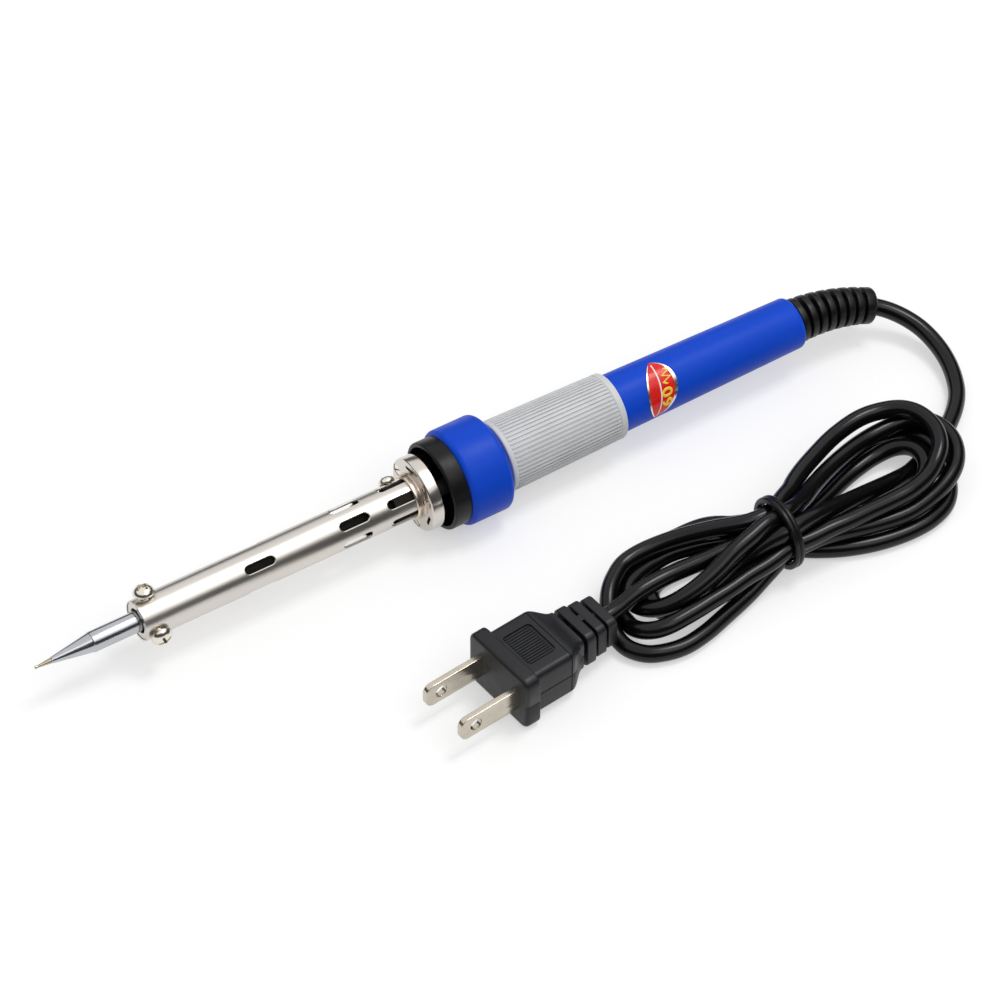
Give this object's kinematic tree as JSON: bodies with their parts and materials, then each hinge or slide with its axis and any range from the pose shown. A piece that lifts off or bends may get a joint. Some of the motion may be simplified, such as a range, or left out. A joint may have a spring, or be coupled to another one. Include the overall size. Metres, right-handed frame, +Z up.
{
  "type": "soldering iron",
  "caption": "Hand soldering iron: pointed tip in a vented barrel, flange on an insulator ring, handle with a ribbed grip, strain relief, and a mains lead tied in a hank with a flat-blade plug.",
  "frame": {"origin": "on the floor under the middle of the iron, measured from the point to the back of the handle", "axes": "+X along the iron from its point to the handle's back end, +Z up; the tied lead and the plug lie on the -Y side"},
  "size_m": [0.2387, 0.0814, 0.024],
  "materials": {
    "plated_tip": "iron-plated copper, satin grey, tinned bright at the point",
    "nickel_steel": "warm nickel plate, satin",
    "screw_steel": "bright nickel plate",
    "heater_steel": "dull stainless",
    "heater_alloy": "dull resistance wire",
    "mica": "mica sheet",
    "ceramic": "unglazed ceramic and glass sleeving",
    "black_phenolic": "satin black moulding",
    "blue_plastic": "satin blue moulding",
    "grip_rubber": "matte light grey with fine ribs",
    "label_film": "gloss red film with silver edge and yellow figures",
    "black_sleeve": "shrink sleeve",
    "tinned_copper": "tinned copper",
    "cord_pvc": "glossy black cord sheath",
    "boot_pvc": "satin black",
    "plug_pvc": "fine matte black moulding",
    "plated_brass": "nickel-plated brass",
    "white_plastic": "white insert"
  },
  "bodies": {
    "iron": {"nose_bushing": "nickel_steel", "barrel_tube": "nickel_steel", "rear_bushing": "nickel_steel", "barrel_screw": "screw_steel", "heater_former": "heater_steel", "heater_winding": "heater_alloy", "heater_wrap": "mica", "heater_end_bead": "ceramic", "heater_leads": "heater_alloy", "lead_sleeves": "ceramic", "mounting_flange": "nickel_steel", "flange_spacers": "ceramic", "flange_screws": "screw_steel", "insulator_ring": "black_phenolic", "handle_shell": "blue_plastic", "grip_sleeve": "grip_rubber", "rating_label": "label_film", "splice_crimps": "tinned_copper", "splice_sleeves": "black_sleeve", "cord_cores": "tinned_copper", "cord_jacket": "cord_pvc", "cord_ferrule": "heater_steel", "cord_boot": "boot_pvc", "mains_lead": "cord_pvc", "cord_hank": "cord_pvc", "cord_tie": "cord_pvc", "plug_lead": "cord_pvc", "plug_body": "plug_pvc", "plug_blades": "plated_brass", "plug_bridge": "white_plastic", "plug_crimps": "plated_brass", "plug_cores": "tinned_copper"},
    "tip": {"tip": "plated_tip"},
    "upper_tip_screw": {"tip_screw_upper": "screw_steel"},
    "lower_tip_screw": {"tip_screw_lower": "screw_steel"}
  },
  "joints": [
    {"name": "tip_slide", "type": "slide", "parent": "iron", "child": "tip", "axis": [-1, 0, 0], "range_m": [0, 0.04]},
    {"name": "upper_screw_travel", "type": "slide", "parent": "iron", "child": "upper_tip_screw", "axis": [0, 0.3256, 0.9455], "range_m": [0, 0.002]},
    {"name": "lower_screw_travel", "type": "slide", "parent": "iron", "child": "lower_tip_screw", "axis": [0, -0.9703, -0.2419], "range_m": [0, 0.002]}
  ]
}
